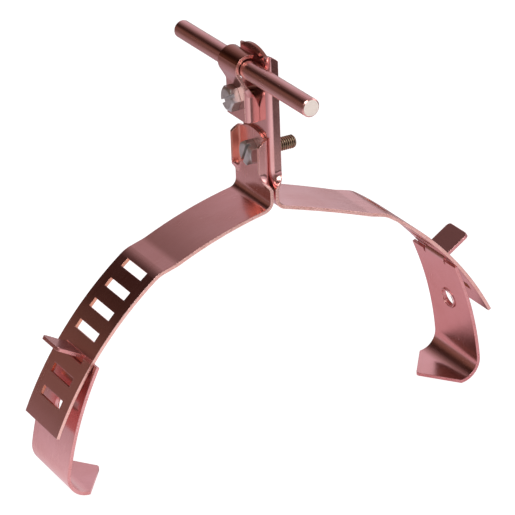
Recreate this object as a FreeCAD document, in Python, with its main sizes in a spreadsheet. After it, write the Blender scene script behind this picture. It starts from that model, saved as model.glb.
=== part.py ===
# Roof conductor holder for ridge tiles, bent from copper strip.
# Two arms meet back to back at the middle and carry the round conductor on top.
# A leg with a claw hangs from one of the slots at each end and grips the tile.
# X runs along the span, Y along the conductor, Z up; the origin is on the ground at mid span.

import FreeCAD, Part
import cmath
import math
import os

Vector = FreeCAD.Vector

# Driving dimensions in millimetres and degrees
SIZES = [
    ("strip_width", 30.0, "width of the arm strip before its sides are folded"),
    ("strip_thick", 1.5, "thickness of the copper strip"),
    ("neck_height", 114.5, "height of the neck above the ground"),
    ("neck_gap", 1.0, "gap between the two strips at the neck"),
    ("back_gap", 0.1, "gap between the backs of the folded uprights"),
    ("neck_straight", 3.7, "upright stretch of plain strip at the neck"),
    ("neck_bend", 4.0, "inner radius of the bend below the neck"),
    ("left_slope", 10.8, "slope of the left arm just past the neck bend"),
    ("left_crown_slope", 23.5, "slope of the left arm at the end of its plain stretch"),
    ("left_plain", 42.4, "length of the left arm's gently curved plain stretch"),
    ("left_kink", 7.6, "change of slope of the left arm's shallow kink"),
    ("left_slotted_slope", 36.8, "slope of the left arm where its slots begin"),
    ("right_slope", 16.6, "slope of the right arm just past the neck bend"),
    ("right_crown_slope", 20.7, "slope of the right arm at the end of its plain stretch"),
    ("right_plain", 43.2, "length of the right arm's gently curved plain stretch"),
    ("right_kink", 5.2, "change of slope of the right arm's shallow kink"),
    ("right_slotted_slope", 34.6, "slope of the right arm where its slots begin"),
    ("kink_bend", 20.0, "bend radius of the kink"),
    ("kink_straight", 5.4, "straight stretch after the kink"),
    ("slotted_bend", 14.0, "bend radius where the slotted stretch begins"),
    ("slotted_radius", 157.0, "radius of the slotted stretch"),
    ("slotted_length", 78.0, "length of the slotted stretch"),
    ("slot_count", 7, "slots in each arm"),
    ("slot_pitch", 10.6, "distance between neighbouring slots"),
    ("slot_across", 4.15, "slot opening along the arm"),
    ("slot_width", 17.7, "slot opening across the arm"),
    ("slot_margin", 12.6, "free end of the arm to the centre of its last slot"),
    ("back_flat", 19.0, "flat width of the folded upright"),
    ("fold_radius", 1.0, "inner radius of the folded sides"),
    ("fold_angle", 86.0, "angle through which the sides are folded"),
    ("fold_start", 0.9, "height above the neck where the folding begins"),
    ("fold_length", 7.6, "height over which the sides fold up"),
    ("long_upright", 61.8, "height of the long upright above the neck"),
    ("crown_drop", 2.4, "fall of the rounded top over the flat of the back"),
    ("side_drop", 3.5, "further fall of the rounded top over the folded side"),
    ("side_round", 10.0, "radius of the rounded top over the folded side"),
    ("conductor_dia", 8.0, "diameter of the round conductor"),
    ("conductor_length", 109.0, "length of the round conductor"),
    ("conductor_height", 52.6, "height of the conductor axis above the neck"),
    ("conductor_chamfer", 0.6, "chamfer at both ends of the conductor"),
    ("seat_gap", 0.05, "clearance where flat metal seats on metal"),
    ("hook_play", 0.3, "clearance between hook and conductor at the side"),
    ("hook_radius", 4.6, "inner radius of the hook"),
    ("hook_width", 15.1, "width of the hook along the conductor"),
    ("hook_tip", 63.0, "angle above the horizontal where the hook ends"),
    ("hook_flare", 30.0, "slope of the hook's foot away from the web"),
    ("hook_foot_bend", 3.0, "inner radius between web and hook foot"),
    ("clamp_offset", 4.45, "middle of the clamp plate along the conductor"),
    ("clamp_depth", 6.3, "outer face of the clamp plate to the upright"),
    ("clamp_flat", 13.0, "flat width of the clamp plate"),
    ("clamp_foot_fall", 23.5, "lower edge of the clamp plate below the conductor axis"),
    ("clamp_foot", "=conductor_height - clamp_foot_fall", "height of that edge above the neck"),
    ("clamp_wing", 5.8, "full height of the clamp plate's wings"),
    ("clamp_web", 15.9, "height of the clamp plate's web at full width"),
    ("clamp_scoop", 30.0, "radius of the hollow cut along the wings"),
    ("clamp_shoulder", 4.6, "height over which the web widens below the hook"),
    ("shoulder_hollow", 7.0, "radius of the hollow where the web widens"),
    ("clamp_screw_fall", 14.7, "clamp screw below the conductor axis"),
    ("clamp_screw_across", 5.4, "clamp screw along the conductor"),
    ("clamp_screw_height", "=conductor_height - clamp_screw_fall", "height of that screw above the neck"),
    ("short_fall", 27.3, "top of the short upright below the conductor axis"),
    ("short_upright", "=conductor_height - short_fall", "height of the short upright above the neck"),
    ("closing_screw_height", 14.3, "height of the closing screw above the neck"),
    ("screw_dia", 6.0, "thread diameter of both screws"),
    ("screw_length", 20.0, "length of the screws under the head"),
    ("screw_point", 0.8, "chamfer at the screw point"),
    ("head_flats", 10.0, "width across flats of the screw heads"),
    ("head_height", 4.0, "height of the screw heads"),
    ("head_chamfer", 0.9, "height of the chamfer on the screw heads"),
    ("driver_slot", 1.6, "width of the screwdriver slot"),
    ("driver_depth", 1.8, "depth of the screwdriver slot"),
    ("screw_hole", 7.0, "clearance hole for a screw"),
    ("thread_play", 0.05, "radial clearance of a screw in its thread"),
    ("collar_wall", 1.3, "wall of the drawn and tapped collars"),
    ("collar_height", 2.4, "height of the collars above the strip"),
    ("leg_slot", 3, "slot that holds the leg, counted from the free end"),
    ("leg_width", 34.6, "width of the legs"),
    ("left_top_slope", 26.8, "angle of the left leg's top from the vertical"),
    ("left_foot_slope", 10.5, "angle of the left leg's lower end from the vertical"),
    ("left_rise", 30.0, "slope of the left tongue above the horizontal"),
    ("left_shift", 1.2, "left tongue off the middle of its slot, up the arm"),
    ("right_top_slope", 21.0, "angle of the right leg's top from the vertical"),
    ("right_foot_slope", 4.8, "angle of the right leg's lower end from the vertical"),
    ("right_rise", 32.5, "slope of the right tongue above the horizontal"),
    ("right_shift", -0.5, "right tongue off the middle of its slot, up the arm"),
    ("leg_straight", 6.0, "straight top of the leg below its shoulders"),
    ("leg_bowed", 42.9, "bowed stretch of the leg down to the bend of the claw"),
    ("claw_bend", 8.5, "inner radius of the bend between leg and claw"),
    ("claw_length", 12.9, "length of the pointed claw"),
    ("claw_point", 2.0, "radius of the claw's point"),
    ("tongue_width", 14.8, "width of the tongue"),
    ("tongue_length", 14.0, "tongue beyond the middle of the arm strip"),
    ("tongue_neck", 0.3, "corner of the tongue above the leg's shoulders"),
    ("tongue_bend", 1.2, "inner radius between leg and tongue"),
    ("tongue_corner", 2.0, "corner radius of the tongue"),
    ("relief_width", 1.4, "width of the relief notches beside the tongue"),
    ("relief_depth", 1.9, "depth of the relief notches"),
    ("shoulder_gap", 0.1, "clearance between the leg's shoulders and the arm"),
    ("leg_hole", 8.4, "hole in each leg"),
    ("leg_hole_drop", 24.8, "hole centre below the shoulders along the leg"),
]

# Turn of each screw about its own axis, in degrees
CLAMP_SCREW_TURN = -30
CLOSING_SCREW_TURN = 120

doc = FreeCAD.newDocument("RoofConductorHolder")
sheet = doc.addObject("Spreadsheet::Sheet", "Sizes")
for row, (alias, value, meaning) in enumerate(SIZES, start=1):
    sheet.set("A%d" % row, meaning)
    sheet.set("B%d" % row, str(value))
    sheet.setAlias("B%d" % row, alias)
doc.recompute()


def size(alias):
    return float(sheet.get(alias))


def bind(feature, name, expression):
    """Ties one property of a feature to cells of the sheet."""
    words = [alias for alias, _, _ in SIZES]
    terms = expression.split()
    feature.setExpression(name, " ".join("Sizes." + term if term in words else term for term in terms))


# Bent strip: a path of lines and arcs in a plane, as complex numbers, and its outline

def walk(start, heading, steps):
    """Lays out lines (length) and arcs (mid radius, turn in degrees) one after another."""
    here, pieces = start, []
    for step in steps:
        if step[0] == "line":
            there = here + cmath.rect(step[1], heading)
            pieces.append({"ends": (here, there), "heading": heading, "length": step[1]})
        else:
            radius, turn = step[1], math.radians(step[2])
            side = math.copysign(1.0, turn)
            centre = here + cmath.rect(radius, heading + side * math.pi / 2)
            there = centre + (here - centre) * cmath.exp(1j * turn)
            pieces.append({"ends": (here, there), "heading": heading, "centre": centre,
                           "radius": radius, "turn": turn, "length": radius * abs(turn)})
            heading += turn
        here = there
    return pieces


def place_on(pieces, distance):
    """Point and heading at a distance along the path."""
    for piece in pieces:
        if distance <= piece["length"]:
            break
        distance -= piece["length"]
    if "centre" not in piece:
        return piece["ends"][0] + cmath.rect(distance, piece["heading"]), piece["heading"]
    turned = math.copysign(distance / piece["radius"], piece["turn"])
    point = piece["centre"] + (piece["ends"][0] - piece["centre"]) * cmath.exp(1j * turned)
    return point, piece["heading"] + turned


def mirrored(pieces):
    """The same path seen from the other side of the Z axis."""
    flip = lambda point: complex(-point.real, point.imag)
    turned = []
    for piece in pieces:
        twin = dict(piece, ends=tuple(flip(point) for point in piece["ends"]),
                    heading=math.pi - piece["heading"])
        if "centre" in piece:
            twin.update(centre=flip(piece["centre"]), turn=-piece["turn"])
        turned.append(twin)
    return turned


def shifted(pieces, step):
    return [dict(piece, ends=tuple(point + step for point in piece["ends"]),
                 **({"centre": piece["centre"] + step} if "centre" in piece else {})) for piece in pieces]


def flat(point):
    return Vector(point.real, point.imag, 0)


def line(start, end):
    return Part.LineSegment(flat(start), flat(end))


def arc(start, middle, end):
    return Part.Arc(flat(start), flat(middle), flat(end))


def circle(centre, radius):
    return Part.Circle(flat(centre), Vector(0, 0, 1), radius)


def bowed(start, end, radius):
    """Middle of an arc between two points that bulges to the left of the way there."""
    chord = abs(end - start)
    sag = radius - math.sqrt(radius * radius - chord * chord / 4)
    return (start + end) / 2 + sag * (end - start) / chord * 1j


def closed(*points):
    return [line(start, end) for start, end in zip(points, points[1:] + points[:1])]


def face_edges(pieces, off):
    """Edges of the strip's face that lies off to the left of the path, and their ends."""
    edges, ends = [], []
    for piece in pieces:
        if "centre" in piece:
            turn, centre = piece["turn"], piece["centre"]
            scale = 1 - math.copysign(1, turn) * off / piece["radius"]
            spokes = [(piece["ends"][0] - centre) * scale * cmath.exp(1j * turn * part)
                      for part in (0, 0.5, 1)]
            edges.append(arc(*(centre + spoke for spoke in spokes)))
            ends += [centre + spokes[0], centre + spokes[2]]
        else:
            side = cmath.rect(off, piece["heading"] + math.pi / 2)
            edges.append(line(piece["ends"][0] + side, piece["ends"][1] + side))
            ends += [piece["ends"][0] + side, piece["ends"][1] + side]
    return edges, ends[0], ends[-1]


def strip_outline(pieces, thick):
    left, left_start, left_end = face_edges(pieces, thick / 2)
    right, right_start, right_end = face_edges(pieces, -thick / 2)
    return left + [line(left_end, right_end)] + right[::-1] + [line(right_start, left_start)]


# Bodies, sketches and features

def new_body(label):
    body = doc.addObject("PartDesign::Body", label)
    body.Label = label
    return body


def new_sketch(body, role, name, edges, height=None):
    """Sketch on an origin plane, raised along the plane's normal by an expression."""
    sketch = body.newObject("Sketcher::SketchObject", name)
    plane = next(item for item in body.Origin.OriginFeatures if item.Role == role)
    sketch.AttachmentSupport = [(plane, "")]
    sketch.MapMode = "FlatFace"
    if height:
        bind(sketch, ".AttachmentOffset.Base.z", height)
    for edge in edges:
        sketch.addGeometry(edge, False)
    doc.recompute()
    return sketch


def pad(body, name, sketch, length, side="One side", reverse=False):
    feature = body.newObject("PartDesign::Pad", name)
    feature.Profile = sketch
    feature.SideType = side
    feature.Reversed = reverse
    bind(feature, "Length", length)
    doc.recompute()
    return feature


def pocket(body, name, sketch, length, side="Symmetric", reverse=False):
    before = body.Shape.Volume
    feature = body.newObject("PartDesign::Pocket", name)
    feature.Profile = sketch
    feature.SideType = side
    feature.Reversed = reverse
    bind(feature, "Length", length)
    doc.recompute()
    if body.Shape.Volume > before - 1e-6:
        raise RuntimeError(name + " cuts nothing")
    return feature


def round_edges(body, name, radius, wanted):
    edges = ["Edge%d" % k for k, edge in enumerate(body.Shape.Edges, start=1) if wanted(edge)]
    feature = body.newObject("PartDesign::Fillet", name)
    feature.Base = (feature.BaseFeature or body.Tip, edges)
    bind(feature, "Radius", radius)
    doc.recompute()
    return feature


def revolve(body, kind, name, sketch):
    feature = body.newObject(kind, name)
    feature.Profile = sketch
    feature.ReferenceAxis = (sketch, ["H_Axis"])
    feature.Angle = 360
    doc.recompute()
    return feature


THICK = size("strip_thick")
HALF = THICK / 2
NECK = size("neck_height")


def folded_section(mid, bend_radius, fold, back, developed, offset=0.0):
    """Cross-section of the strip with both sides folded towards +X, seen from above."""
    mid_radius = bend_radius + HALF
    zone = mid_radius * math.radians(size("fold_angle"))
    side = (developed - back) / 2 - zone
    if fold:
        curve = ("arc", zone / math.radians(fold), -fold)
    else:
        curve = ("line", zone)
    steps = [("line", side), curve, ("line", back), curve, ("line", side)]
    pieces = walk(0j, math.radians(90 + fold), steps)
    centre = sum(pieces[2]["ends"]) / 2
    return shifted(pieces, complex(mid, offset) - centre)


def arm_path(side):
    """Middle of an arm's strip in the XZ plane, from the neck outwards, drawn as a right arm."""
    slope, crown_slope, plain, kink, slotted_slope = (
        size("%s_%s" % (side, name)) for name in ("slope", "crown_slope", "plain", "kink", "slotted_slope"))
    start = complex(size("neck_gap") / 2 + HALF, NECK + size("fold_start"))
    plain_turn = crown_slope - slope
    steps = [
        ("line", size("neck_straight")),
        ("arc", size("neck_bend") + HALF, 90 - slope),
        ("arc", plain / math.radians(plain_turn), -plain_turn),
        ("arc", size("kink_bend"), kink),
        ("line", size("kink_straight")),
        ("arc", size("slotted_bend"), crown_slope - kink - slotted_slope),
        ("arc", size("slotted_radius"), -math.degrees(size("slotted_length") / size("slotted_radius"))),
    ]
    return walk(start, -math.pi / 2, steps)


SIDES = {"left": -1, "right": 1}
ARMS = {side: arm_path(side) for side in SIDES}


def slot_place(side, number):
    """Centre and heading of a slot, counted from the free end of the arm."""
    length = sum(piece["length"] for piece in ARMS[side])
    return place_on(ARMS[side], length - size("slot_margin") - (number - 1) * size("slot_pitch"))


def flipped(point, sign):
    return complex(sign * point.real, point.imag)


def facing(pieces, sign):
    return pieces if sign > 0 else mirrored(pieces)


def build_arm(side, top):
    """Arm with its folded upright."""
    label, sign = side + "_arm", SIDES[side]
    body = new_body(label)
    strip = new_sketch(body, "XZ_Plane", label + "_strip", strip_outline(facing(ARMS[side], sign), THICK))
    pad(body, label + "_strip_pad", strip, "strip_width", "Symmetric")

    slots = []
    for number in range(1, int(size("slot_count")) + 1):
        centre, heading = slot_place(side, number)
        along = cmath.rect(size("slot_across") / 2, heading)
        through = cmath.rect(2 * THICK, heading + math.pi / 2)
        corners = [centre + a * along + b * through for a, b in ((-1, -1), (1, -1), (1, 1), (-1, 1))]
        slots += closed(*(flipped(corner, sign) for corner in corners))
    slot_sketch = new_sketch(body, "XZ_Plane", label + "_slots", slots)
    pocket(body, label + "_slot_cut", slot_sketch, "slot_width")

    # The sides fold up gradually above the neck, while the strip leans in to the other arm
    first_mid = size("neck_gap") / 2 + HALF
    last_mid = size("back_gap") / 2 + HALF
    sections = []
    for part in (0, 0.25, 0.5, 0.75, 1):
        ease = part * part * (3 - 2 * part)
        mid = first_mid + (last_mid - first_mid) * ease
        outline = folded_section(mid, size("fold_radius"), ease * size("fold_angle"),
                                 size("back_flat"), size("strip_width"))
        sections.append(new_sketch(body, "XY_Plane", "%s_fold_%d" % (label, 100 * part),
                                   strip_outline(facing(outline, sign), THICK),
                                   "neck_height + fold_start + fold_length * %s" % part))
    loft = body.newObject("PartDesign::AdditiveLoft", label + "_fold")
    loft.Profile = sections[0]
    loft.Sections = sections[1:]
    doc.recompute()

    channel = folded_section(last_mid, size("fold_radius"), size("fold_angle"),
                             size("back_flat"), size("strip_width"))
    upright = new_sketch(body, "XY_Plane", label + "_upright", strip_outline(facing(channel, sign), THICK),
                         "neck_height + fold_start + fold_length")
    pad(body, label + "_upright_pad", upright, top + " - crown_drop - fold_start - fold_length")

    # Rounded top: a crown over the back, and a falling corner on each folded side
    inner, outer = size("back_gap") / 2, size("back_gap") / 2 + THICK
    shoulder = NECK + size(top) - size("crown_drop")
    half_back = size("back_flat") / 2
    crown = [arc(complex(-half_back, shoulder), complex(0, shoulder + size("crown_drop")),
                 complex(half_back, shoulder)),
             line(complex(half_back, shoulder), complex(half_back, shoulder - HALF)),
             line(complex(half_back, shoulder - HALF), complex(-half_back, shoulder - HALF)),
             line(complex(-half_back, shoulder - HALF), complex(-half_back, shoulder))]
    crown_sketch = new_sketch(body, "YZ_Plane", label + "_crown", crown,
                              "back_gap / 2" if sign > 0 else "0 - back_gap / 2")
    pad(body, label + "_crown_pad", crown_sketch, "strip_thick", reverse=sign < 0)

    edge = max(point.real for piece in channel for point in piece["ends"]) + HALF
    high, low = complex(outer, shoulder), complex(edge, shoulder - size("side_drop"))
    above = complex(edge + THICK, shoulder + THICK)
    corners = [low, complex(above.real, low.imag), above, complex(outer, above.imag), high]
    corner = [arc(*(flipped(point, sign) for point in (high, bowed(high, low, size("side_round")), low)))]
    corner += [line(flipped(start, sign), flipped(end, sign)) for start, end in zip(corners, corners[1:])]
    corner_sketch = new_sketch(body, "XZ_Plane", label + "_side_corner", corner)
    pocket(body, label + "_side_corner_cut", corner_sketch, "strip_width")
    return body


def tapped_collar(body, name, height, across):
    """Collar drawn out of the long upright and tapped for a screw."""
    centre = complex(size(across) if across else 0, NECK + size(height))
    bore = size("screw_dia") / 2 + size("thread_play")
    ring = new_sketch(body, "YZ_Plane", name + "_ring", [circle(centre, bore + size("collar_wall"))],
                      "back_gap / 2 + strip_thick / 2")
    pad(body, name + "_pad", ring, "strip_thick / 2 + collar_height")
    hole = new_sketch(body, "YZ_Plane", name + "_bore", [circle(centre, bore)])
    pocket(body, name + "_thread", hole, "2 * collar_height + 4 * strip_thick")


def build_left_arm():
    body = build_arm("left", "short_upright")
    hole = new_sketch(body, "YZ_Plane", "left_arm_hole",
                      [circle(complex(0, NECK + size("closing_screw_height")), size("screw_hole") / 2)])
    pocket(body, "left_arm_hole_cut", hole, "8 * strip_thick")
    return body


def build_right_arm():
    body = build_arm("right", "long_upright")
    tapped_collar(body, "closing_collar", "closing_screw_height", None)
    tapped_collar(body, "clamp_collar", "clamp_screw_height", "clamp_screw_across")
    return body


def leg_paths(side):
    """Middle of a leg's strip and of its tongue in the XZ plane, drawn as a right leg."""
    top, foot, rise = (math.radians(size("%s_%s" % (side, name)))
                       for name in ("top_slope", "foot_slope", "rise"))
    down, outward, along = cmath.rect(1, top - math.pi / 2), cmath.rect(1, top), cmath.rect(1, rise)
    centre, heading = slot_place(side, int(size("leg_slot")))
    crossing = centre - cmath.rect(size(side + "_shift"), heading)

    # The tongue is drawn back through the slot until the shoulders clear the strip's underside
    reach = size("slotted_radius") - HALF - size("shoulder_gap")
    face = crossing + size("tongue_neck") * down + HALF * outward - ARMS[side][-1]["centre"]
    lean = (face * along.conjugate()).real
    root = lean - math.sqrt(lean * lean - abs(face) ** 2 + reach * reach)
    corner = crossing - root * along

    leg = walk(corner + size("tongue_neck") * down, top - math.pi / 2, [
        ("line", size("leg_straight")),
        ("arc", size("leg_bowed") / (top - foot), -math.degrees(top - foot)),
        ("arc", size("claw_bend") + HALF, -90 - math.degrees(foot)),
        ("line", size("claw_length"))])

    turn = math.pi / 2 + top - rise
    radius = size("tongue_bend") + HALF
    tangent = radius * math.tan(turn / 2)
    below = size("tongue_neck") + size("relief_depth") + THICK
    tongue = walk(corner + below * down, top + math.pi / 2, [
        ("line", below - tangent),
        ("arc", radius, -math.degrees(turn)),
        ("line", root + size("tongue_length") - tangent)])
    return leg, tongue


def build_leg(side):
    """Leg with its claw, its hole and the tongue that hooks into a slot of the arm."""
    label, sign = side + "_leg", SIDES[side]
    body = new_body(label)
    leg, tongue = leg_paths(side)
    plate = new_sketch(body, "XZ_Plane", label + "_side", strip_outline(facing(leg, sign), THICK))
    pad(body, label + "_plate", plate, "leg_width", "Symmetric")

    # Room for the tongue and the relief notches beside it
    start, down = leg[0]["ends"][0], cmath.rect(1, leg[0]["heading"])
    across = THICK * down * 1j
    deep = start + size("relief_depth") * down
    above = start - THICK * down
    room = closed(*(flipped(point, sign) for point in (deep - across, deep + across, above + across,
                                                       above - across)))
    relief = new_sketch(body, "XZ_Plane", label + "_relief", room)
    pocket(body, label + "_relief_cut", relief, "tongue_width + 2 * relief_width")

    tongue_sketch = new_sketch(body, "XZ_Plane", label + "_tongue",
                               strip_outline(facing(tongue, sign), THICK))
    pad(body, label + "_tongue_pad", tongue_sketch, "tongue_width", "Symmetric")
    tip = flipped(tongue[-1]["ends"][1], sign)
    round_edges(body, label + "_tongue_corners", "tongue_corner",
                lambda edge: all(math.hypot(v.X - tip.real, v.Z - tip.imag) < THICK
                                 and abs(v.Y - edge.Vertexes[0].Y) < 0.01 for v in edge.Vertexes))

    # The claw is cut to a point
    half_width = size("leg_width") / 2
    tip, back = leg[-1]["ends"][1].real, leg[-1]["ends"][0].real
    beyond = tip - THICK
    for name, away in (("near", -1), ("far", 1)):
        waste = closed(*(complex(sign * x, away * y) for x, y in (
            (tip, 0), (back, half_width), (back, half_width + THICK), (beyond, half_width + THICK),
            (beyond, 0))))
        cut = new_sketch(body, "XY_Plane", "%s_claw_%s" % (label, name), waste)
        pocket(body, "%s_claw_%s_cut" % (label, name), cut, "20 * strip_thick")
    round_edges(body, label + "_claw_point", "claw_point",
                lambda edge: all(abs(v.X - sign * tip) < 0.01 and abs(v.Y) < 0.01 for v in edge.Vertexes))

    middle, heading = place_on(leg, size("leg_hole_drop"))
    hole = new_sketch(body, "YZ_Plane", label + "_hole", [circle(0j, size("leg_hole") / 2)])
    hole.AttachmentOffset = FreeCAD.Placement(
        Vector(0, middle.imag, sign * middle.real),
        FreeCAD.Rotation(Vector(1, 0, 0), -sign * (90 + math.degrees(heading))))
    pocket(body, label + "_hole_cut", hole, "4 * strip_thick")
    return body


def build_clamp_plate():
    body = new_body("clamp_plate")
    offset = size("clamp_offset")
    face = size("back_gap") / 2
    web = face - size("clamp_depth") + HALF
    foot = NECK + size("clamp_foot")
    radius = size("hook_radius") + HALF
    rod_x = face - size("seat_gap") - size("conductor_dia") / 2
    rod_z = NECK + size("conductor_height")
    ring_x = rod_x - size("conductor_dia") / 2 - size("hook_play") + size("hook_radius")
    ring = complex(ring_x, rod_z)

    # Foot of the hook leans out from the web and runs into the ring as a tangent
    flare = math.radians(size("hook_flare"))
    touch = ring - radius * cmath.exp(1j * flare)
    climb = (web - touch.real) / math.tan(flare)
    knee = size("hook_foot_bend") + HALF
    tangent = knee * math.tan(flare / 2)
    bend_height = touch.imag - climb - tangent
    slope = math.hypot(web - touch.real, climb) - tangent
    steps = [("line", bend_height - foot), ("arc", knee, size("hook_flare")), ("line", slope),
             ("arc", radius, -(180 + size("hook_flare") - size("hook_tip")))]
    hook = walk(complex(web, foot), math.pi / 2, steps)
    hook_sketch = new_sketch(body, "XZ_Plane", "hook_side", strip_outline(hook, THICK), "0 - clamp_offset")
    pad(body, "hook_pad", hook_sketch, "hook_width", "Symmetric")

    # Web with both sides folded in until they bear on the upright
    bend_radius = size("fold_radius")
    side = size("clamp_depth") - size("seat_gap") - THICK - bend_radius
    wing, fold = ("line", side), ("arc", bend_radius + HALF, -90)
    channel = walk(0j, math.pi, [wing, fold, ("line", size("clamp_flat")), fold, wing])
    centre = sum(channel[2]["ends"]) / 2
    channel = shifted(channel, complex(web, offset) - centre)
    section = new_sketch(body, "XY_Plane", "clamp_section", strip_outline(channel, THICK),
                         "neck_height + clamp_foot")
    pad(body, "clamp_web_pad", section, "clamp_web")

    # The wings are scooped away above their bearing stretch
    low = complex(face, foot + size("clamp_wing"))
    high = complex(web + HALF, foot + size("clamp_web"))
    bow = bowed(high, low, size("clamp_scoop"))
    beyond = complex(face + THICK, high.imag + THICK)
    outline = [arc(low, bow, high), line(high, complex(high.real, beyond.imag)),
               line(complex(high.real, beyond.imag), beyond), line(beyond, complex(beyond.real, low.imag)),
               line(complex(beyond.real, low.imag), low)]
    scoop = new_sketch(body, "XZ_Plane", "wing_scoop", outline, "0 - clamp_offset")
    pocket(body, "wing_scoop_cut", scoop, "clamp_flat + 8 * strip_thick")

    # Below the hook the web widens in a hollow curve on each side
    narrow, wide = size("hook_width") / 2, size("clamp_flat") / 2 + bend_radius + THICK
    top = foot + size("clamp_web")
    for name, way in (("near_shoulder", -1), ("far_shoulder", 1)):
        inner = complex(offset + way * narrow, top)
        outer = complex(offset + way * wide, top - size("clamp_shoulder"))
        ends = (inner, outer) if way < 0 else (outer, inner)
        above, beyond = inner + THICK * 1j, outer + way * THICK
        corner = complex(beyond.real, above.imag)
        outline = [arc(outer, bowed(*ends, size("shoulder_hollow")), inner), line(inner, above),
                   line(above, corner), line(corner, beyond), line(beyond, outer)]
        hollow = new_sketch(body, "YZ_Plane", name, outline)
        pocket(body, name + "_cut", hollow, "4 * clamp_depth")

    hole = new_sketch(body, "YZ_Plane", "clamp_hole",
                      [circle(complex(size("clamp_screw_across"), NECK + size("clamp_screw_height")),
                              size("screw_hole") / 2)],
                      "0 - clamp_depth")
    pocket(body, "clamp_hole_cut", hole, "4 * strip_thick")
    return body


def build_screw(label, turn, x, y, z):
    """Slotted hexagon-head screw along X, its head bearing at the given place."""
    body = new_body(label)
    radius, length, point = size("screw_dia") / 2, size("screw_length"), size("screw_point")
    profile = closed(0j, complex(0, radius), complex(length - point, radius),
                     complex(length, radius - point), complex(length, 0))
    shank = new_sketch(body, "XZ_Plane", label + "_shank", profile)
    revolve(body, "PartDesign::Revolution", label + "_shank_turned", shank)

    corner = size("head_flats") / math.sqrt(3)
    hexagon = closed(*(cmath.rect(corner, math.radians(60 * k + 30)) for k in range(6)))
    head = new_sketch(body, "YZ_Plane", label + "_head", hexagon)
    pad(body, label + "_head_pad", head, "head_height", reverse=True)

    top, fall = -size("head_height"), size("head_chamfer")
    run = fall * math.sqrt(3)
    bevel = closed(complex(top, corner - run), complex(top, corner + run),
                   complex(top + 2 * fall, corner + run))
    bevel_sketch = new_sketch(body, "XZ_Plane", label + "_bevel", bevel)
    revolve(body, "PartDesign::Groove", label + "_bevel_cut", bevel_sketch)

    half, wide = size("driver_slot") / 2, 2 * corner
    slot = closed(complex(-wide, -half), complex(wide, -half), complex(wide, half), complex(-wide, half))
    slot_sketch = new_sketch(body, "YZ_Plane", label + "_slot", slot, "0 - head_height")
    pocket(body, label + "_slot_cut", slot_sketch, "2 * driver_depth")
    body.Placement = FreeCAD.Placement(Vector(x, y, z), FreeCAD.Rotation(Vector(1, 0, 0), turn))
    return body


def build_conductor():
    rod = doc.addObject("Part::Cylinder", "conductor_blank")
    bind(rod, "Radius", "conductor_dia / 2")
    bind(rod, "Height", "conductor_length")
    doc.recompute()
    rounded = doc.addObject("Part::Chamfer", "conductor_rod")
    rounded.Base = rod
    chamfer = size("conductor_chamfer")
    rims = [k for k, edge in enumerate(rod.Shape.Edges, start=1) if edge.Closed and len(edge.Vertexes) == 1]
    rounded.Edges = [(k, chamfer, chamfer) for k in rims]
    rounded.Label = "conductor_rod"
    x = size("back_gap") / 2 - size("seat_gap") - size("conductor_dia") / 2
    rounded.Placement = FreeCAD.Placement(
        Vector(x, size("conductor_length") / 2, NECK + size("conductor_height")),
        FreeCAD.Rotation(Vector(1, 0, 0), 90))
    doc.recompute()
    return rounded


left_back = size("back_gap") / 2 + THICK + size("seat_gap")
clamp_face = size("clamp_depth") - size("back_gap") / 2 + size("seat_gap")
nodes = [
    build_left_arm(),
    build_right_arm(),
    build_leg("left"),
    build_leg("right"),
    build_clamp_plate(),
    build_conductor(),
    build_screw("closing_screw", CLOSING_SCREW_TURN, -left_back, 0, NECK + size("closing_screw_height")),
    build_screw("clamp_screw", CLAMP_SCREW_TURN, -clamp_face, size("clamp_screw_across"),
                NECK + size("clamp_screw_height")),
]
doc.recompute()

for item in doc.Objects:
    if "Invalid" in item.State or "Error" in item.State:
        raise RuntimeError("%s is %s" % (item.Label, item.State))

os.makedirs("parts", exist_ok=True)
for node in nodes:
    shape = node.Shape
    if shape.isNull() or not shape.isValid():
        raise RuntimeError(node.Label + " has no valid shape")
    shape.exportStep("parts/%s.step" % node.Label)
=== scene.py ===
import math
import bmesh
import bpy
from mathutils import Matrix, Vector


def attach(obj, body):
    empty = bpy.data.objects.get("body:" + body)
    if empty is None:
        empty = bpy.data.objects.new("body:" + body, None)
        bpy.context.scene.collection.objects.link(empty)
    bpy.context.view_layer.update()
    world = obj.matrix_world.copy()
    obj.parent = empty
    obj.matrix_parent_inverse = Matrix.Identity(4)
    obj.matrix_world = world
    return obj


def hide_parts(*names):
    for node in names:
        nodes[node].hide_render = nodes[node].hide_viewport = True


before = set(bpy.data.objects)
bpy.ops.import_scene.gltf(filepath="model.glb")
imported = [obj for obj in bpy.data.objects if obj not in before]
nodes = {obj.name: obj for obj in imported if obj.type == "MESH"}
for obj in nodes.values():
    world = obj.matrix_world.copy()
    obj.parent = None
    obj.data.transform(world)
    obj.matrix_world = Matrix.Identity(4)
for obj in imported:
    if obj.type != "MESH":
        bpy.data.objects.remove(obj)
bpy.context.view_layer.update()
mm = 0.001
edgeRound = 0.4 * mm  # how far the shading rounds over the edges of the copper
facing = 0.5  # a face looks along an axis when more than this of its normal does


# shader maths: a socket that adds its own Math nodes

class Wire:
    def __init__(self, finish, socket):
        self.finish = finish
        self.socket = socket

    def maths(self, operation, first, second):
        return self.finish.add("ShaderNodeMath", {"operation": operation}, {0: first, 1: second})

    def __add__(self, other):
        return self.maths("ADD", self, other)

    def __radd__(self, other):
        return self.maths("ADD", other, self)

    def __sub__(self, other):
        return self.maths("SUBTRACT", self, other)

    def __rsub__(self, other):
        return self.maths("SUBTRACT", other, self)

    def __mul__(self, other):
        return self.maths("MULTIPLY", self, other)

    def __rmul__(self, other):
        return self.maths("MULTIPLY", other, self)

    def __truediv__(self, other):
        return self.maths("DIVIDE", self, other)

    def __rtruediv__(self, other):
        return self.maths("DIVIDE", other, self)


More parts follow.
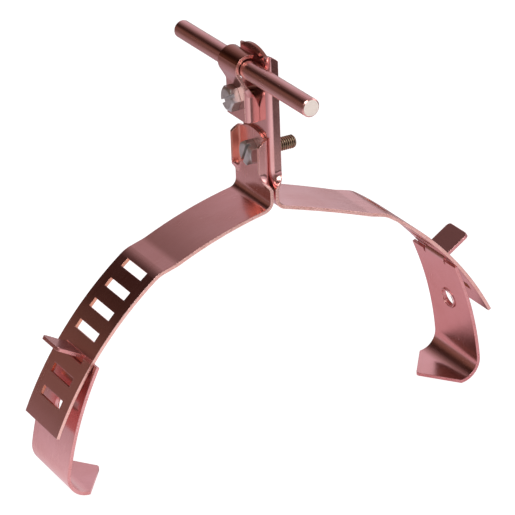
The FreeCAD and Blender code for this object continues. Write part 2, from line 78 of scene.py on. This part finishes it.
def setStops(ramp, stops):
    for number, (at, colour) in enumerate(stops):
        stop = ramp.elements[number] if number < len(ramp.elements) else ramp.elements.new(at)
        stop.position = at
        stop.color = (*colour, 1)


def tinted(colour, tint):
    return tuple(value * part for value, part in zip(colour, tint))


class Finish:
    # the node tree of a new material, or of the room when its tree is given
    def __init__(self, name, tree=None):
        if tree is None:
            self.material = bpy.data.materials.new(name)
            self.material.use_nodes = True
            tree = self.material.node_tree
        self.tree = tree
        tree.nodes.clear()

    def add(self, kind, settings=None, values=None, output=0):
        node = self.tree.nodes.new(kind)
        for key, value in (settings or {}).items():
            if key == "stops":
                setStops(node.color_ramp, value)
            else:
                setattr(node, key, value)
        for key, value in (values or {}).items():
            if isinstance(value, Wire):
                self.tree.links.new(value.socket, node.inputs[key])
            else:
                node.inputs[key].default_value = value
        return Wire(self, node.outputs[output]) if node.outputs else None

    def noise(self, scale, detail, rough, shift):
        spot = self.add("ShaderNodeTexCoord", output="Object")
        spot = self.add("ShaderNodeMapping", {}, {"Vector": spot, "Scale": scale, "Location": shift})
        return self.add("ShaderNodeTexNoise", {}, {"Vector": spot, "Scale": 1.0, "Detail": detail,
                                                   "Roughness": rough})

    def remap(self, value, low, high):
        return self.add("ShaderNodeMapRange", {"clamp": True},
                        {"Value": value, "From Min": low, "From Max": high})

    def blend(self, factor, first, second):
        # 6, 7 and output 2 are the Mix node's colour sockets
        first, second = (value if isinstance(value, Wire) else (*value, 1) for value in (first, second))
        return self.add("ShaderNodeMix", {"data_type": "RGBA"}, {0: factor, 6: first, 7: second}, output=2)

    def bump(self, look, height, rounded=False):
        values = {"Strength": look["strength"], "Distance": look["depth"], "Height": height}
        if rounded:
            values["Normal"] = self.add("ShaderNodeBevel", {"samples": 6}, {"Radius": edgeRound})
        return self.add("ShaderNodeBump", {}, values)

    def surface(self, values):
        shader = self.add("ShaderNodeBsdfPrincipled", {}, values)
        self.add("ShaderNodeOutputMaterial", {}, {"Surface": shader})
        return self.material

    def metal(self, look, colour, rough, height, rounded=False):
        return self.surface({"Base Color": colour, "Metallic": 1.0, "Roughness": rough,
                             "Normal": self.bump(look, height, rounded)})


# copper strip: rolled streaks, cloudy tarnish and fine handling scratches

copperLook = {
    "plain": (0.86, 0.50, 0.485), "tarnish": (0.72, 0.34, 0.29), "fresh": (0.94, 0.62, 0.58),
    "rough": 0.17, "strength": 0.10, "depth": 0.2 * mm,
    # each pattern's scale along and across the rolling, its detail and its roughness
    "clouds": (55, 55, 4, 0.6), "patches": (18, 18, 2, 0.5), "streaks": (60, 2600, 2, 0.5),
    "scratches": (25, 900, 1, 0.4), "specks": (900, 900, 1, 0.5),
    # the parts of clouds and patches in the tarnish, and the values between which each thing comes in
    "cloudPart": 0.65, "patchPart": 0.35,
    "between": {"tarnish": (0.36, 0.66), "streaks": (0.42, 0.75),
                "scratches": (0.62, 0.72), "specks": (0.69, 0.76)},
    # how much each one does to the colour, the roughness and the height
    "colour": {"tarnish": 0.45, "streaks": 0.22, "scratches": 0.18, "specks": 0.25},
    "roughen": {"tarnish": 0.08, "streaks": 0.06, "scratches": 0.05},
    "height": {"streaks": 0.6, "clouds": 0.5, "specks": 0.25},
}


def copperFinish(name, rolled, seed, tint=(1, 1, 1), satin=0.0):
    # rolled names the axes that the streaks run along; satin is added to the roughness
    look = copperLook
    finish = Finish(name)
    between, inColour, inRough, inHeight = (look[key] for key in ("between", "colour", "roughen", "height"))
    plain, tarnish, fresh = (tinted(look[key], tint) for key in ("plain", "tarnish", "fresh"))

    def pattern(kind, shift):
        # the shift only keeps one pattern from repeating another
        lengthwise, across, detail, rough = look[kind]
        scale = [lengthwise if axis in rolled else across for axis in "xyz"]
        return finish.noise(scale, detail, rough, shift)

    clouds = pattern("clouds", (seed, seed * 0.7, 1.3))
    patches = pattern("patches", (seed + 5, 2, seed))
    streaks = pattern("streaks", (seed, 0, 0))
    scratches = pattern("scratches", (0, seed, 0))
    specks = pattern("specks", (seed, seed, 0))
    tarnishOrPaintedSheen = finish.remap(clouds * look["cloudPart"] + patches * look["patchPart"], *between["tarnish"])
    streaked = finish.remap(streaks, *between["streaks"])
    scratched = finish.remap(scratches, *between["scratches"])
    specked = finish.remap(specks, *between["specks"])
    colour = finish.blend(tarnishOrPaintedSheen * inColour["tarnish"], plain, tarnish)
    colour = finish.blend(streaked * inColour["streaks"], colour, fresh)
    colour = finish.blend(scratched * inColour["scratches"], colour, fresh)
    colour = finish.blend(specked * inColour["specks"], colour, tarnish)
    rough = look["rough"] + satin + tarnishOrPaintedSheen * inRough["tarnish"] + streaks * inRough["streaks"]
    rough = rough - scratched * inRough["scratches"]
    height = streaks * inHeight["streaks"] + clouds * inHeight["clouds"] + specks * inHeight["specks"]
    return finish.metal(look, colour, rough, height, rounded=True)


# sheared edges: fine burnished strokes over slower patches where the metal tore

cutLook = {
    "plain": (0.97, 0.62, 0.55), "torn": (0.80, 0.40, 0.32), "burnished": (0.98, 0.76, 0.68),
    "rough": 0.24, "strength": 0.35, "depth": 0.2 * mm,
    # scale, detail and roughness
    "strokes": ((1500, 1500, 1500), 2, 0.5), "tears": ((220, 220, 220), 3, 0.6),
    "between": {"tears": (0.38, 0.68), "strokes": (0.55, 0.75), "roughness": (0.3, 0.7)},
    "tearColour": 0.5, "strokeColour": 0.3, "strokeRoughen": 0.12, "tearHeight": 0.6,
}


def cutFinish(name, seed, tint=(1, 1, 1)):
    look = cutLook
    finish = Finish(name)
    between = look["between"]
    strokes = finish.noise(*look["strokes"], (seed, 0, 0))
    tears = finish.noise(*look["tears"], (0, seed, 0))
    torn = finish.remap(tears, *between["tears"])
    burnished = finish.remap(strokes, *between["strokes"])
    colour = finish.blend(torn * look["tearColour"], tinted(look["plain"], tint), tinted(look["torn"], tint))
    colour = finish.blend(burnished * look["strokeColour"], colour, look["burnished"])
    rough = look["rough"] + finish.remap(strokes, *between["roughness"]) * look["strokeRoughen"]
    height = strokes + tears * look["tearHeight"]
    return finish.metal(look, colour, rough, height, rounded=True)


def paint(node, finishes, pick):
    # pick names the finish of a face, from the face's middle in millimetres and its normal
    mesh = nodes[node].data
    names = list(finishes)
    mesh.materials.clear()
    for finish in finishes.values():
        mesh.materials.append(finish)
    for face in mesh.polygons:
        face.material_index = names.index(pick(face.center / mm, face.normal))


# the arms: rolled faces, sheared edges all round and in the slots with painted shade on the slot walls,
# darker brown tarnish at the top of the right upright's far side, and a painted orange reflection on the
# left upright's far folded side

armLook = {
    "tops": {"left": 139.8, "right": 176.3},
    # the strip's sides begin to fold up at the first height and stand square from the second
    "neckTop": 117.0, "foldTop": 124.6,
    # across the flat strip: how far the slots reach, and where the folds' sheared edges begin
    "slotReach": 9.0, "foldEdge": 13.2,
    # on the uprights: where the side away from the camera begins, and how far out both sides' free edges lie
    "farEar": 6.0, "farEarFoot": 120.5, "freeEdge": 5.0,
    # how far the crown's edge and the tarnish come down from the top
    "crownDrop": 9.0, "earDrop": 12.0,
    # how far the normals of the sheared ends, the folds' edges and far side, and the web lean their way
    "endTurn": -0.06, "foldEdgeTurn": 0.6, "farFoldTurn": -0.2, "webTurn": -0.95,
    # the left ear's tint is lighter and more orange: a painted reflection of the copper round it; the right
    # ear's darker brown is tarnish
    "earTint": {"left": (1.06, 0.88, 0.74), "right": (0.42, 0.30, 0.22)},
    "earSatin": {"left": 0.18, "right": 0.0},
    # the slot walls are tinted darker and warmer: painted shade inside the slots
    "slotShade": (0.84, 0.66, 0.52),
}
armCut = cutFinish("arm_cut_edge", seed=3.1)
# the sheared walls inside the slots, with their painted shade
slotShadedCut = cutFinish("slot_shaded_cut_edge", seed=5.6, tint=armLook["slotShade"])


def armPick(side, sign):
    look = armLook
    top = look["tops"][side]

    def flatPick(spot, turn):
        # ends of the strip and of its slots lean the other way from the rolled faces
        if abs(turn.y) > facing or sign * turn.x * turn.z < look["endTurn"]:
            return "slot" if abs(spot.y) < look["slotReach"] else "cut"
        return "face"

    def foldPick(spot, turn):
        farEar = spot.y > look["farEar"] and spot.z > look["farEarFoot"]
        if side == "left" and farEar and turn.y < look["farFoldTurn"]:
            return "ear"
        return "cut" if abs(turn.y) > look["foldEdgeTurn"] and abs(spot.y) > look["foldEdge"] else "face"

    def uprightPick(spot, turn):
        if spot.z > top - look["crownDrop"] and turn.z > facing:
            return "cut" if side == "left" else "ear"
        web = turn.x < look["webTurn"] and spot.x > -look["freeEdge"]
        # on the left the far side, away from the web, takes the painted orange reflection; on the right only
        # the top takes the darker brown tarnish
        tarnishOrPaintedSheen = side == "left" or (spot.z > top - look["earDrop"] and turn.x < facing)
        if tarnishOrPaintedSheen and not web and spot.y > look["farEar"] and turn.y < facing:
            return "ear"
        return "cut" if abs(spot.x) > look["freeEdge"] else "face"

    def pick(spot, turn):
        if spot.z < look["neckTop"]:
            return flatPick(spot, turn)
        return foldPick(spot, turn) if spot.z < look["foldTop"] else uprightPick(spot, turn)
    return pick


for side, sign in (("left", -1), ("right", 1)):
    face = copperFinish(side + "_arm_copper", "xz", seed=1.7 + sign)
    # the ear copper: on the left a painted orange reflection, on the right darker brown tarnish
    ear = copperFinish(side + "_ear_copper", "z", seed=8.1 + sign, tint=armLook["earTint"][side],
                       satin=armLook["earSatin"][side])
    paint(side + "_arm", {"face": face, "cut": armCut, "ear": ear, "slot": slotShadedCut}, armPick(side, sign))
print("arms finished")


# pieces built up from rings of points

def joinRings(build, rings):
    faces = []
    for first, second in zip(rings, rings[1:]):
        for step in range(len(first)):
            after = (step + 1) % len(first)
            face = build.faces.new((first[step], first[after], second[after], second[step]))
            face.smooth = True
            faces.append(face)
    return faces


def makePiece(name, build, finishes):
    bmesh.ops.recalc_face_normals(build, faces=build.faces)
    mesh = bpy.data.meshes.new(name)
    build.to_mesh(mesh)
    build.free()
    for finish in finishes:
        mesh.materials.append(finish)
    piece = bpy.data.objects.new(name, mesh)
    bpy.context.scene.collection.objects.link(piece)
    return piece


# the legs: the same strip, wider, with a punched hole and a tongue

legLook = {
    # x and z of the middle of each hole, and the reach within which its wall lies
    "holes": {"left": (-97.19, 36.15), "right": (96.06, 34.52)}, "holeReach": 4.7,
    # the shoulders' cut edges lie between two heights beside the tongue, whose own end is further out
    "shoulders": (56, 60), "tongueHalf": 8, "tongueEnd": 99.5,
    # how far the normals of the side edges and of the tongue's end lean their way
    "edgeTurn": 0.25, "tongueEndTurn": 0.6,
    "tint": (1.04, 1.04, 1.04), "cutTint": (0.86, 0.68, 0.76),
}
legCut = cutFinish("leg_cut_edge", seed=7.4, tint=legLook["cutTint"])


def legPick(side, sign):
    look = legLook
    holeX, holeZ = look["holes"][side]
    low, high = look["shoulders"]

    def pick(spot, turn):
        if math.hypot(spot.y, spot.x - holeX, spot.z - holeZ) < look["holeReach"]:
            return "cut" if abs(turn.x) < facing else "face"
        shoulder = turn.z > facing and low < spot.z < high and abs(spot.y) > look["tongueHalf"]
        tongueEnd = (sign * turn.x > look["tongueEndTurn"] and sign * spot.x > look["tongueEnd"]
                     and spot.z > high)
        return "cut" if abs(turn.y) > look["edgeTurn"] or shoulder or tongueEnd else "face"
    return pick


# the burr that the punch drew up round the hole, higher on one side

rimLook = {
    # radius and height of each point of the burr, as it is on the high side
    "section": ((4.22, -0.4), (4.24, 0.04), (4.34, 0.14), (4.52, 0.20), (4.72, 0.17), (4.92, 0.06),
                (5.02, -0.2), (4.7, -0.4)),
    # degrees round the hole to the high side, and how far the low side is sunk into the face
    "highSide": 45, "sunk": 0.25,
    # slope of the hole's axis, and the way along it from the hole's middle to the leg's face
    "lean": {"left": 0.357, "right": 0.2475}, "face": 1.5,
    "around": 56,  # points round the hole
}


def punchedRim(side, sign, finish):
    look = rimLook
    holeX, holeZ = legLook["holes"][side]
    axis = Vector((-sign, 0, -look["lean"][side])).normalized()
    along = Vector((0, 1, 0))
    up = axis.cross(along)
    foot = Vector((holeX, 0, holeZ)) + axis * look["face"]
    highest = sign * math.radians(look["highSide"])
    build = bmesh.new()
    rings = []
    for radius, height in look["section"]:
        ring = []
        for step in range(look["around"]):
            angle = 2 * math.pi * step / look["around"]
            drawn = 0.5 + 0.5 * math.cos(angle - highest)
            rise = height * drawn - look["sunk"] * (1 - drawn)
            spot = foot + axis * rise + radius * (math.cos(angle) * along + math.sin(angle) * up)
            ring.append(build.verts.new(spot * mm))
        rings.append(ring)
    joinRings(build, rings + rings[:1])
    piece = makePiece(side + "_hole_rim", build, [finish])
    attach(piece, side + "_leg_body")


for side, sign in (("left", -1), ("right", 1)):
    face = copperFinish(side + "_leg_copper", "z", seed=9.2 + sign, tint=legLook["tint"])
    punchedRim(side, sign, face)
    paint(side + "_leg", {"face": face, "cut": legCut}, legPick(side, sign))
print("legs finished")


# the clamp plate with its hook

clampLook = {
    # along the conductor: the plate's middle, and how far from it the hook ends and the wings' edges begin
    "middle": 4.45, "hookHalf": 7.65, "wingFrom": 7.6,
    # heights of the lower edge and of the hook's tarnished crown
    "foot": 143.8, "crown": 168.5,
    # how far the normals of the side edges and of the crown lean their way
    "edgeTurn": 0.8, "crownTurn": 0.45,
    "tint": (0.94, 0.94, 0.94), "crownTint": (0.42, 0.30, 0.22),
}


def clampPick(spot, turn):
    look = clampLook
    across = abs(spot.y - look["middle"])
    if abs(turn.y) > look["edgeTurn"]:
        return "cut" if across < look["hookHalf"] else "face"
    if turn.z > look["crownTurn"] and spot.z > look["crown"]:
        return "crown"
    wingEdge = across > look["wingFrom"] and turn.x > facing
    return "cut" if wingEdge or spot.z < look["foot"] else "face"


paint("clamp_plate", {
    "face": copperFinish("clamp_copper", "z", seed=4.4, tint=clampLook["tint"]),
    "cut": cutFinish("clamp_cut_edge", seed=2.2),
    "crown": copperFinish("clamp_crown_copper", "y", seed=3.6, tint=clampLook["crownTint"]),
}, clampPick)
print("clamp plate finished")


# the round conductor: drawn lines along it, sawn bright ends

rodLook = {
    "tint": (0.90, 0.90, 0.88), "end": (0.98, 0.91, 0.82), "endDark": (0.84, 0.64, 0.52), "endFrom": 54.4,
    "saw": ((300, 300, 4200), 2, 0.5), "sawBetween": (0.5, 0.8), "sawColour": 0.35,
    "metal": 0.35, "rough": 0.5, "strength": 0.15, "depth": 0.1 * mm,
}


def rodEndFinish():
    look = rodLook
    finish = Finish("rod_sawn_end")
    strokes = finish.noise(*look["saw"], (1, 2, 3))
    sawn = finish.remap(strokes, *look["sawBetween"])
    colour = finish.blend(sawn * look["sawColour"], look["end"], look["endDark"])
    return finish.surface({"Base Color": colour, "Metallic": look["metal"], "Roughness": look["rough"],
                           "Normal": finish.bump(look, strokes)})


def rodPick(spot, turn):
    return "end" if abs(spot.y) > rodLook["endFrom"] else "face"


rodCopper = copperFinish("rod_copper", "y", seed=6.3, tint=rodLook["tint"])
paint("conductor_rod", {"face": rodCopper, "end": rodEndFinish()}, rodPick)
print("conductor finished")


# the screws: slotted hexagon heads on a rolled thread, with painted shade in the thread's roots

steelLook = {
    # the root colour is near black: painted shade in the thread's roots
    "head": (0.70, 0.73, 0.71), "thread": (0.62, 0.54, 0.38), "shadedRoot": (0.10, 0.075, 0.05),
    "nick": (0.86, 0.85, 0.83), "cloudTone": 0.55,  # the clouds are this much of the part's own tone
    "rough": 0.22, "strength": 0.2, "depth": 0.1 * mm,
    # scale, detail and roughness
    "turned": ((2600, 240, 240), 2, 0.5), "clouds": ((320, 320, 320), 3, 0.6),
    "nicks": ((1400, 1400, 1400), 1, 0.5),
    "between": {"clouds": (0.35, 0.7), "nicks": (0.64, 0.74)},
    "colour": {"clouds": 0.6, "nicks": 0.4},
    "roughen": {"turned": 0.14, "clouds": 0.08},
    "height": {"turned": 0.6, "nicks": 0.5},
}


def steelFinish(part, seed):
    look = steelLook
    finish = Finish("screw_" + part + "_steel")
    between, inColour, inRough, inHeight = (look[key] for key in ("between", "colour", "roughen", "height"))
    turned = finish.noise(*look["turned"], (seed, 0, 0))
    clouds = finish.noise(*look["clouds"], (0, seed, 0))
    nicks = finish.noise(*look["nicks"], (seed, seed, 0))
    dull = tinted(look[part], [look["cloudTone"]] * 3)
    clouded = finish.remap(clouds, *between["clouds"])
    nicked = finish.remap(nicks, *between["nicks"])
    colour = finish.blend(clouded * inColour["clouds"], look[part], dull)
    colour = finish.blend(nicked * inColour["nicks"], colour, look["nick"])
    rough = look["rough"] + turned * inRough["turned"] + clouds * inRough["clouds"]
    height = turned * inHeight["turned"] + nicks * inHeight["nicks"]
    return finish.metal(look, colour, rough, height)


screwLook = {
    # y and z of each screw's axis, and x of the face that its head bears on
    "places": {"closing_screw": (0.0, 128.8, -1.6), "clamp_screw": (5.4, 152.4, -6.3)},
    "radius": 3.0, "core": 2.42, "pitch": 1.0, "length": 20.0, "point": 0.8,
    # the thread's form: how much its crest is worn, how steep its flanks are and how flat its root is
    "crestWear": 0.02, "flank": 2.3, "rootFlat": 0.12, "rootShadeRadius": 2.62,
    "around": 56, "perTurn": 10,  # points round the shank, and rings in each pitch
    # the solid is cut off this far behind the head, and the points left are merged within this reach
    "slack": 0.05, "weld": 0.01,
    "softEdge": 0.18, "softSteps": 2, "softAngle": 40,
}
screwSteel = [steelFinish("head", seed=1.9), steelFinish("thread", seed=5.2), steelFinish("shadedRoot", seed=7.7)]


def threadRadius(turns):
    # rounded crest and root of a rolled thread; turns counts pitches along the helix
    look = screwLook
    rise = abs(turns % 1.0 - 0.5) * look["flank"] - look["rootFlat"]
    rise = min(max(rise, 0.0), 1.0)
    rise = rise * rise * (3 - 2 * rise)
    return look["core"] + (look["radius"] - look["crestWear"] - look["core"]) * rise


def threadRings(build, middleY, middleZ, bearing):
    look = screwLook
    rows = int(look["length"] / look["pitch"] * look["perTurn"])
    rings = []
    for row in range(rows + 1):
        reach = look["length"] * row / rows
        pointed = look["radius"] - look["point"] + look["length"] - reach
        ring = []
        for step in range(look["around"]):
            angle = 2 * math.pi * step / look["around"]
            radius = min(threadRadius(reach / look["pitch"] - step / look["around"]), pointed)
            y = middleY + radius * math.cos(angle)
            z = middleZ + radius * math.sin(angle)
            ring.append(build.verts.new(Vector((bearing + reach, y, z)) * mm))
        rings.append(ring)
    return rings


def threadedScrew(node, body):
    # the head comes from the solid; the shank is built again with its thread
    look = screwLook
    head, thread, shadedRoot = range(len(screwSteel))
    middleY, middleZ, bearing = look["places"][node]
    build = bmesh.new()
    build.from_mesh(nodes[node].data)
    shank = [face for face in build.faces if face.calc_center_median().x / mm > bearing + look["slack"]]
    bmesh.ops.delete(build, geom=shank, context="FACES")
    bmesh.ops.remove_doubles(build, verts=build.verts, dist=look["weld"] * mm)
    for face in build.faces:
        face.material_index = head
    rings = threadRings(build, middleY, middleZ, bearing)
    # faces nearer the axis than the root-shade radius take the painted shade of the roots
    for face in joinRings(build, rings):
        middle = face.calc_center_median() / mm
        radius = math.hypot(middle.y - middleY, middle.z - middleZ)
        face.material_index = shadedRoot if radius < look["rootShadeRadius"] else thread
    build.faces.new(rings[-1]).material_index = thread
    piece = makePiece(node + "_threaded", build, screwSteel)
    soft = piece.modifiers.new("soft_edges", "BEVEL")
    soft.width = look["softEdge"] * mm
    soft.segments = look["softSteps"]
    soft.limit_method = "ANGLE"
    soft.angle_limit = math.radians(look["softAngle"])
    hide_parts(node)
    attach(piece, body)


threadedScrew("closing_screw", "closing_screw_body")
threadedScrew("clamp_screw", "clamp_screw_body")
print("screws finished")


# the stage: a pale table, and just over it a sheet that only the metal sees, with a pool of light on it

stageLook = {
    # the west, south, east and north sides; the lengths of the stage are in metres
    "extent": (-2.6, -2.6, 3.2, 4.0),
    "tableLevel": -0.8 * mm, "sheetLevel": -0.4 * mm,
    "tableGrey": (0.30, 0.30, 0.30, 1), "tableRough": 0.8, "tableGlow": 0.95,
    # the pool's middle, how far out its colours run, and the colours
    "pool": (-0.05, -0.25), "reach": 1.6,
    "fade": [(0.0, (0.97, 0.90, 0.94)), (0.11, (0.92, 0.84, 0.88)), (0.156, (0.80, 0.69, 0.74)),
             (0.206, (0.60, 0.49, 0.55)), (0.28, (0.46, 0.36, 0.40)), (0.35, (0.39, 0.30, 0.32)),
             (0.62, (0.23, 0.145, 0.135)), (1.0, (0.16, 0.095, 0.08))],
    # round spots of painted shadow under the feet and of painted copper bounce light: x, y, and the radii
    # where each begins and where it is full
    "footShadows": ((0.100, 0.013, 0.0172, 0.014), (-0.081, 0.011, 0.016, 0.006)), "shadow": (0.05, 0.022, 0.018),
    "copperBounce": (0.088, 0.035, 0.10, 0.03), "copperGlow": (0.57, 0.35, 0.39),
    # y and x between which the painted shade on the front right corner comes in
    "darkFront": (-0.235, -0.275), "darkRight": (0.0, 0.06),
}


def stagePlane(name, level, finish):
    west, south, east, north = stageLook["extent"]
    corners = [(west, south, level), (east, south, level), (east, north, level), (west, north, level)]
    mesh = bpy.data.meshes.new(name)
    mesh.from_pydata(corners, [], [(0, 1, 2, 3)])
    mesh.materials.append(finish)
    plane = bpy.data.objects.new(name, mesh)
    bpy.context.scene.collection.objects.link(plane)
    return plane


def tableFinish():
    look = stageLook
    return Finish("table_top").surface({"Base Color": look["tableGrey"], "Roughness": look["tableRough"],
                                        "Specular IOR Level": 0, "Emission Color": (1, 1, 1, 1),
                                        "Emission Strength": look["tableGlow"]})


def sheetFinish():
    # a painted pool of light, brightest in front of the holder and fading outwards; painted copper-red
    # bounce light round the right foot, painted shadows under both feet and painted shade far in front on
    # the right
    look = stageLook
    finish = Finish("light_pool")
    spot = finish.add("ShaderNodeTexCoord", output="Object")

    def gap(x, y):
        return finish.add("ShaderNodeVectorMath", {"operation": "DISTANCE"},
                          {0: spot, 1: (x, y, look["sheetLevel"])}, output="Value")

    def near(x, y, outer, inner):
        return finish.remap(gap(x, y), outer, inner)

    right = finish.add("ShaderNodeSeparateXYZ", {}, {0: spot}, output="X")
    back = finish.add("ShaderNodeSeparateXYZ", {}, {0: spot}, output="Y")
    out = gap(*look["pool"]) / look["reach"]
    pool = finish.add("ShaderNodeValToRGB", {"stops": look["fade"]}, {"Fac": out})
    shade = finish.remap(back, *look["darkFront"]) * finish.remap(right, *look["darkRight"])
    for foot in look["footShadows"]:
        shade = shade + near(*foot) * (1 - shade)
    colour = finish.blend(near(*look["copperBounce"]), pool, look["copperGlow"])
    colour = finish.blend(shade, colour, look["shadow"])
    return finish.surface({"Base Color": (0, 0, 0, 1), "Specular IOR Level": 0, "Emission Color": colour,
                           "Emission Strength": 1.0})


roomLook = [  # once round the holder: right, straight up, left, straight down
    (0.0, (0.70, 0.64, 0.70)), (0.06, (0.70, 0.62, 0.67)), (0.125, (0.70, 0.56, 0.63)),
    (0.16, (0.62, 0.50, 0.57)), (0.193, (0.48, 0.375, 0.41)), (0.228, (0.37, 0.29, 0.30)),
    (0.25, (0.25, 0.18, 0.18)), (0.293, (0.12, 0.078, 0.075)), (0.335, (0.035, 0.015, 0.011)),
    (0.38, (0.035, 0.014, 0.009)), (0.41, (0.12, 0.068, 0.050)), (0.449, (0.20, 0.11, 0.085)),
    (0.50, (0.18, 0.11, 0.095)), (0.60, (0.32, 0.26, 0.27)), (0.90, (0.60, 0.54, 0.58)),
    (1.0, (0.70, 0.64, 0.70)),
]


def roomLight():
    world = bpy.data.worlds.new("room")
    bpy.context.scene.world = world
    world.use_nodes = True
    finish = Finish("room", world.node_tree)
    way = finish.add("ShaderNodeTexCoord", output="Generated")
    right = finish.add("ShaderNodeSeparateXYZ", {}, {0: way}, output="X")
    up = finish.add("ShaderNodeSeparateXYZ", {}, {0: way}, output="Z")
    turn = finish.add("ShaderNodeMath", {"operation": "ARCTAN2"}, {0: up, 1: right}) / (2 * math.pi)
    turn = finish.add("ShaderNodeMath", {"operation": "FRACT"}, {0: turn + 1})
    colour = finish.add("ShaderNodeValToRGB", {"stops": roomLook}, {"Fac": turn})
    glow = finish.add("ShaderNodeBackground", {}, {"Color": colour, "Strength": 1.0})
    finish.add("ShaderNodeOutputWorld", {}, {"Surface": glow})


lampLook = {
    "aim": (0, 0, 0.08),
    "key": {"spot": (-0.55, -0.75, 1.25), "size": 0.7, "power": 10, "colour": (1, 0.99, 0.97)},
    "side": {"spot": (1.1, -0.25, 0.7), "size": 0.6, "power": 1.5, "colour": (1, 1, 1)},
}


def areaLight(name):
    look = lampLook[name]
    light = bpy.data.lights.new(name, "AREA")
    light.shape = "SQUARE"
    light.size = look["size"]
    light.energy = look["power"]
    light.color = look["colour"]
    lamp = bpy.data.objects.new(name, light)
    lamp.location = look["spot"]
    ray = Vector(lampLook["aim"]) - Vector(look["spot"])
    lamp.rotation_euler = ray.to_track_quat("-Z", "Y").to_euler()
    bpy.context.scene.collection.objects.link(lamp)


stagePlane("table_top", stageLook["tableLevel"], tableFinish())
sheet = stagePlane("light_pool", stageLook["sheetLevel"], sheetFinish())
sheet.visible_camera = sheet.visible_shadow = sheet.visible_diffuse = False
roomLight()
areaLight("key")
areaLight("side")
bpy.context.scene.view_settings.view_transform = "Standard"
print("stage and light ready")


# the camera, at the photograph's angle

cameraLook = {
    "spot": (-505.5, -927.3, 576.9), "azimuth": 28.54, "elevation": 25.23, "roll": -2.22,
    "focal": 2740.0, "width": 515,  # in pixels
    "sensor": 36.0, "near": 0.05, "far": 20,  # the sensor in millimetres, the reach in metres
}


def makeCamera():
    look = cameraLook
    turn, drop, roll = (math.radians(look[key]) for key in ("azimuth", "elevation", "roll"))
    ahead = Vector((math.sin(turn) * math.cos(drop), math.cos(turn) * math.cos(drop), -math.sin(drop)))
    level = Vector((math.cos(turn), -math.sin(turn), 0))
    above = level.cross(ahead)
    right = math.cos(roll) * level + math.sin(roll) * above
    up = math.cos(roll) * above - math.sin(roll) * level
    data = bpy.data.cameras.new("camera")
    data.sensor_width = look["sensor"]
    data.lens = look["focal"] / look["width"] * look["sensor"]
    data.clip_start = look["near"]
    data.clip_end = look["far"]
    camera = bpy.data.objects.new("camera", data)
    pose = Matrix((right, up, -ahead)).transposed().to_4x4()
    camera.matrix_world = Matrix.Translation(Vector(look["spot"]) * mm) @ pose
    bpy.context.scene.collection.objects.link(camera)
    bpy.context.scene.camera = camera


makeCamera()
print("camera set")
